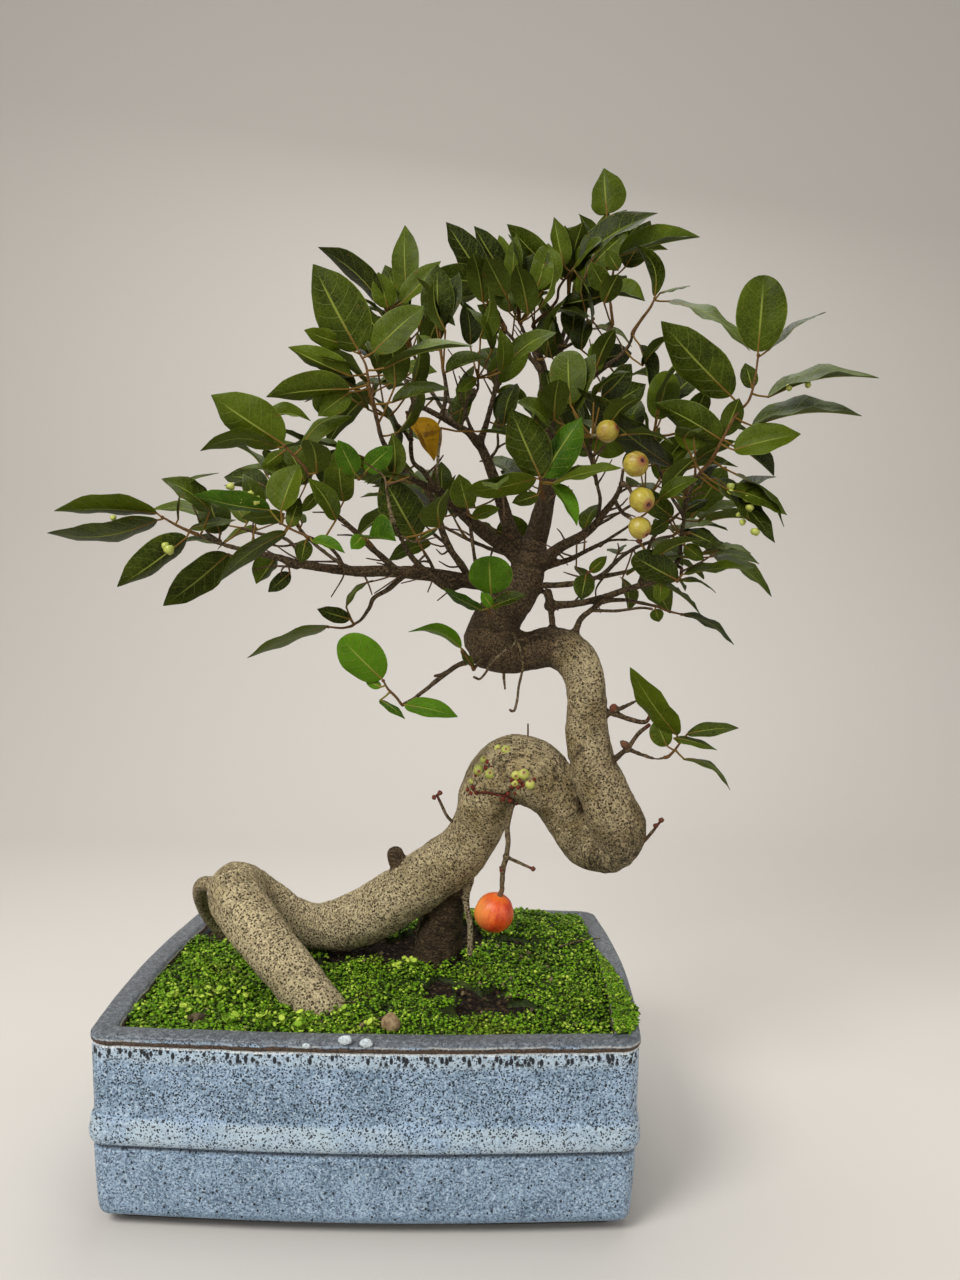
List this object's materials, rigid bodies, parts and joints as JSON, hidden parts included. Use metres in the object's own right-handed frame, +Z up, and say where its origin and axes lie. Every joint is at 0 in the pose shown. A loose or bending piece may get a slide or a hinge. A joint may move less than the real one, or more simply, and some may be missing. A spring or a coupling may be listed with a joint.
{
  "type": "cluster fig bonsai in a glazed pot",
  "caption": "Old cluster fig grown as a bonsai: a bent trunk with sparse leafy shoots and figs, rooted in an oblong blue-grey glazed pot with moss.",
  "frame": {"origin": "under the middle of the whole tree, on the surface that the pot stands on", "axes": "+Z up, -Y to the front of the tree, +X to the right seen from the front"},
  "size_m": [0.6648, 0.3982, 0.8943],
  "materials": {
    "glazed_stoneware": "pale blue-grey glaze with dark pinholes, bare brown clay under the rim",
    "potting_soil": "dark crumbly soil",
    "moss_and_creeper": "mat of tiny round leaves and moss",
    "tan_stone": "smooth tan pebble",
    "bark": "pale tan bark with dark pits, browner on the branches",
    "green_leaves": "leathery green blades with pale veins",
    "yellowed_leaf": "yellow blade about to drop",
    "ripe_fig_skin": "orange-red skin with fine ribs",
    "unripe_fig_skin": "yellow-green skin with a dark eye"
  },
  "bodies": {
    "root": {"pot": "glazed_stoneware", "soil": "potting_soil", "ground_cover": "moss_and_creeper", "pebble": "tan_stone", "tree_wood": "bark", "shoot_left_tip": "green_leaves", "shoot_left_round": "green_leaves", "shoot_left_under": "green_leaves", "shoot_left_hang": "green_leaves", "shoot_left_centre": "green_leaves", "shoot_left_mid": "green_leaves", "shoot_left_mid_low": "green_leaves", "shoot_bright_pair": "green_leaves", "shoot_bright_low": "green_leaves", "shoot_facing": "green_leaves", "shoot_big_left": "green_leaves", "shoot_upper_left": "green_leaves", "shoot_mid_top_left": "green_leaves", "shoot_rise": "green_leaves", "shoot_curl_twig": "green_leaves", "shoot_centre_up_back": "green_leaves", "shoot_top_left": "green_leaves", "shoot_top_middle": "green_leaves", "shoot_leader": "green_leaves", "shoot_twig_up": "green_leaves", "shoot_side_twig": "green_leaves", "shoot_arm_leaf": "green_leaves", "shoot_right_arm": "green_leaves", "shoot_long_right": "green_leaves", "shoot_galled_right": "green_leaves", "shoot_right_up_round": "green_leaves", "shoot_right_side": "green_leaves", "shoot_low_spur": "green_leaves", "shoot_right_under": "green_leaves", "shoot_side_low": "green_leaves", "shoot_low_twig": "green_leaves", "shoot_curl_spur": "green_leaves", "shoot_head_spur": "green_leaves", "shoot_left_low": "green_leaves", "shoot_centre_front": "green_leaves", "shoot_centre_right": "green_leaves", "shoot_middle_spur": "green_leaves", "shoot_right_inner": "green_leaves", "shoot_inner_left": "green_leaves", "shoot_back_mid": "green_leaves", "yellow_leaf": "yellowed_leaf", "shoot_back_left": "green_leaves", "shoot_back_up": "green_leaves", "shoot_back_top": "green_leaves", "shoot_back_right": "green_leaves", "shoot_back_low": "green_leaves", "shoot_back_far_left": "green_leaves", "shoot_back_centre": "green_leaves", "shoot_back_side": "green_leaves", "ripe_fig": "ripe_fig_skin", "unripe_fig_top": "unripe_fig_skin", "unripe_fig_side": "unripe_fig_skin", "unripe_fig_middle": "unripe_fig_skin", "unripe_fig_low": "unripe_fig_skin"}
  },
  "joints": []
}
